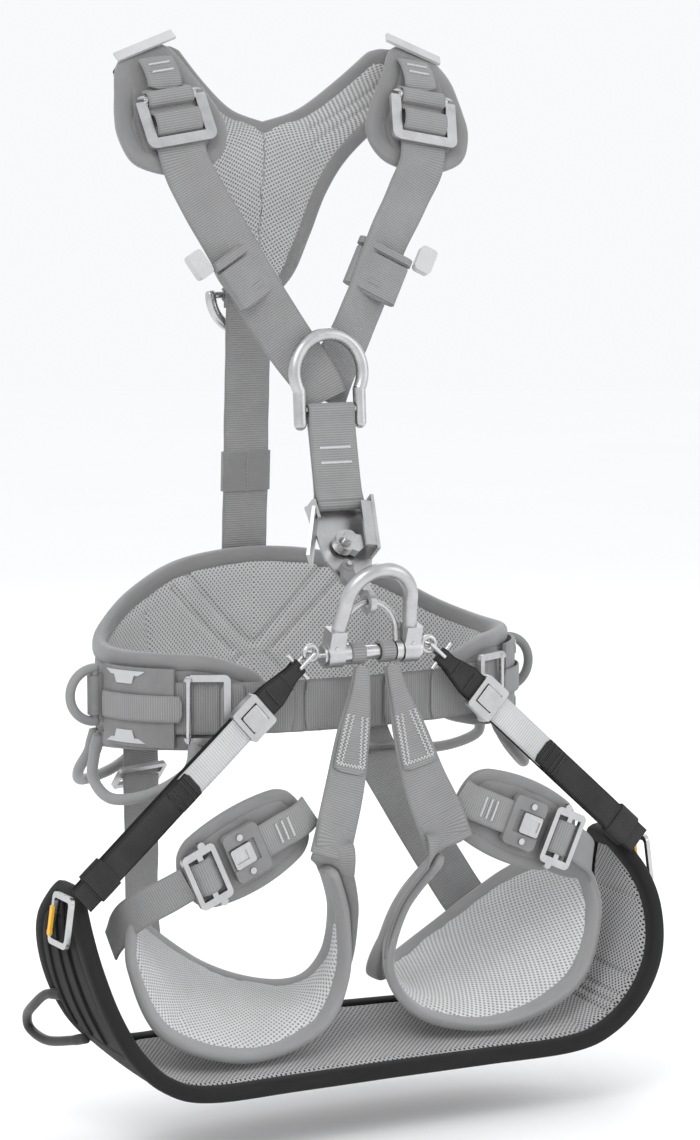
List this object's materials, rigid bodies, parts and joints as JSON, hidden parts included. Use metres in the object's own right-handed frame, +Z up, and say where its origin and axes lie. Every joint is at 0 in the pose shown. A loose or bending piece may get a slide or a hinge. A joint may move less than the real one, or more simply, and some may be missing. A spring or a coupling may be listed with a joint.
{
  "type": "tree climbing saddle",
  "caption": "Full-body tree climbing harness with waist belt, leg loops, shoulder straps, attachment rings and a hanging work seat.",
  "frame": {"origin": "middle of the ventral bar, the bar of the ring that the saddle hangs from", "axes": "+Z up, -Y towards the wearer's front, +X across the body"},
  "size_m": [0.5802, 0.3033, 0.8926],
  "materials": {
    "harness_webbing": "ribbed webbing",
    "harness_cover": "woven cover",
    "harness_mesh": "open mesh",
    "forged_aluminium": "satin",
    "steel": "satin",
    "grey_plastic": "matt",
    "pale_plastic": "matt",
    "grey_tube": "satin",
    "black_cover": "coarse woven",
    "seat_mesh": "honeycomb mesh",
    "seat_stiffener": "matt",
    "black_webbing": "ribbed webbing",
    "black_tube": "satin",
    "yellow_gate": "satin"
  },
  "bodies": {
    "harness": {"waist_pad": "harness_cover", "waist_lining": "harness_mesh", "waist_belt": "harness_webbing", "waist_side_plates": "grey_plastic", "waist_buckle_pins": "steel", "waist_gear_loops": "grey_tube", "side_ring_mounts": "grey_plastic", "ventral_bar": "steel", "chest_link": "steel", "leg_risers": "harness_webbing", "leg_pads": "harness_cover", "leg_linings": "harness_mesh", "leg_front_pads": "harness_cover", "leg_webbing": "harness_webbing", "leg_buckle_bodies": "steel", "leg_buckle_rivets": "steel", "rear_leg_straps": "harness_webbing", "rear_leg_buckles": "steel", "back_strap": "harness_webbing", "back_strap_sleeve": "harness_cover", "back_yoke": "harness_cover", "back_ring_mount": "grey_plastic", "shoulder_pads": "harness_cover", "shoulder_plates": "pale_plastic", "shoulder_buckle_pins": "steel", "shoulder_straps": "harness_webbing", "strap_keepers": "harness_webbing", "keeper_tabs": "pale_plastic", "chest_strap": "harness_webbing", "ascender_frame": "forged_aluminium", "ascender_axles": "steel"},
    "ventral_ring": {"ventral_ring": "forged_aluminium", "ventral_ring_screws": "steel"},
    "seat": {"seat_shell": "black_cover", "seat_board": "seat_stiffener", "seat_lining": "seat_mesh", "seat_gear_loops": "black_tube", "seat_webbing": "black_webbing", "seat_keepers": "black_webbing", "seat_hooks": "steel", "seat_adjusters": "steel", "seat_connectors": "steel"},
    "chest_ring": {"chest_ring": "forged_aluminium"},
    "back_ring": {"back_ring": "forged_aluminium"},
    "side_ring_left": {"side_ring_left": "steel"},
    "side_ring_right": {"side_ring_right": "steel"},
    "waist_buckle_left": {"waist_buckle_left": "forged_aluminium"},
    "waist_buckle_right": {"waist_buckle_right": "forged_aluminium"},
    "shoulder_buckle_left": {"shoulder_buckle_left": "forged_aluminium"},
    "shoulder_buckle_right": {"shoulder_buckle_right": "forged_aluminium"},
    "leg_tongue_left": {"leg_tongue_left": "forged_aluminium"},
    "leg_tongue_right": {"leg_tongue_right": "forged_aluminium"},
    "leg_latch_left": {"leg_latch_left": "grey_plastic"},
    "leg_latch_right": {"leg_latch_right": "grey_plastic"},
    "ascender_cam": {"ascender_cam": "steel"},
    "ascender_catch": {"ascender_catch": "grey_plastic"},
    "seat_adjuster_plate_left": {"seat_adjuster_plate_left": "steel"},
    "seat_adjuster_plate_right": {"seat_adjuster_plate_right": "steel"},
    "seat_gate_left": {"seat_gate_left": "yellow_gate"},
    "seat_gate_right": {"seat_gate_right": "yellow_gate"}
  },
  "joints": [
    {"name": "ventral_ring_swing", "type": "hinge", "parent": "harness", "child": "ventral_ring", "pos_m": [0, 0, 0], "axis": [1, 0, 0], "range_deg": [-18, 120]},
    {"name": "chest_ring_fall", "type": "hinge", "parent": "harness", "child": "chest_ring", "pos_m": [0, 0.074, 0.203], "axis": [1, 0, 0], "range_deg": [0, 100]},
    {"name": "back_ring_lift", "type": "hinge", "parent": "harness", "child": "back_ring", "pos_m": [0, 0.242, 0.296], "axis": [1, 0, 0], "range_deg": [0, 150]},
    {"name": "side_ring_left", "type": "hinge", "parent": "harness", "child": "side_ring_left", "pos_m": [-0.205, 0.118, -0.038], "axis": [0, 0, -1], "range_deg": [-60, 60]},
    {"name": "side_ring_right", "type": "hinge", "parent": "harness", "child": "side_ring_right", "pos_m": [0.205, 0.118, -0.038], "axis": [0, 0, 1], "range_deg": [-60, 60]},
    {"name": "waist_buckle_left", "type": "hinge", "parent": "harness", "child": "waist_buckle_left", "pos_m": [-0.1533, 0.03939, -0.044], "axis": [0, 0, -1], "range_deg": [0, 22]},
    {"name": "waist_buckle_right", "type": "hinge", "parent": "harness", "child": "waist_buckle_right", "pos_m": [0.1533, 0.03939, -0.044], "axis": [0, 0, 1], "range_deg": [0, 22]},
    {"name": "shoulder_buckle_left", "type": "hinge", "parent": "harness", "child": "shoulder_buckle_left", "pos_m": [-0.1239, 0.13349, 0.47131], "axis": [-0.9877, 0, -0.1564], "range_deg": [0, 60]},
    {"name": "shoulder_buckle_right", "type": "hinge", "parent": "harness", "child": "shoulder_buckle_right", "pos_m": [0.1239, 0.13349, 0.47131], "axis": [-0.9877, 0, 0.1564], "range_deg": [0, 60]},
    {"name": "leg_tongue_left", "type": "slide", "parent": "harness", "child": "leg_tongue_left", "axis": [-0.9135, 0, -0.4067], "range_m": [0, 0.03]},
    {"name": "leg_tongue_right", "type": "slide", "parent": "harness", "child": "leg_tongue_right", "axis": [0.9135, 0, -0.4067], "range_m": [0, 0.03]},
    {"name": "leg_latch_left", "type": "slide", "parent": "harness", "child": "leg_latch_left", "axis": [0.9135, 0, 0.4067], "range_m": [0, 0.004], "stiffness_N_per_m": 400},
    {"name": "leg_latch_right", "type": "slide", "parent": "harness", "child": "leg_latch_right", "axis": [-0.9135, 0, 0.4067], "range_m": [0, 0.004], "stiffness_N_per_m": 400},
    {"name": "ascender_cam", "type": "hinge", "parent": "harness", "child": "ascender_cam", "pos_m": [-0.006, 0.03493, 0.09106], "axis": [0, 0.8141, -0.5807], "range_deg": [0, 25], "stiffness_Nm_per_rad": 0.1},
    {"name": "ascender_catch", "type": "hinge", "parent": "harness", "child": "ascender_catch", "pos_m": [-0.012, 0.021, 0.07153], "axis": [0, 0.8141, -0.5807], "range_deg": [0, 20], "stiffness_Nm_per_rad": 0.05},
    {"name": "seat_swing", "type": "hinge", "parent": "harness", "child": "seat", "pos_m": [0, 0, 0], "axis": [1, 0, 0], "range_deg": [-35, 4]},
    {"name": "adjuster_plate_left", "type": "hinge", "parent": "seat", "child": "seat_adjuster_plate_left", "pos_m": [-0.1085, -0.007, -0.04308], "axis": [-0.6668, 0, 0.7452], "range_deg": [0, 25], "stiffness_Nm_per_rad": 0.05},
    {"name": "adjuster_plate_right", "type": "hinge", "parent": "seat", "child": "seat_adjuster_plate_right", "pos_m": [0.1085, -0.007, -0.04308], "axis": [-0.6668, 0, -0.7452], "range_deg": [0, 25], "stiffness_Nm_per_rad": 0.05},
    {"name": "seat_gate_left", "type": "hinge", "parent": "seat", "child": "seat_gate_left", "pos_m": [-0.28843, 0.026, -0.21835], "axis": [0.9903, 0, -0.1392], "range_deg": [0, 25], "stiffness_Nm_per_rad": 0.05},
    {"name": "seat_gate_right", "type": "hinge", "parent": "seat", "child": "seat_gate_right", "pos_m": [0.28843, 0.026, -0.21835], "axis": [0.9903, 0, 0.1392], "range_deg": [0, 25], "stiffness_Nm_per_rad": 0.05}
  ]
}
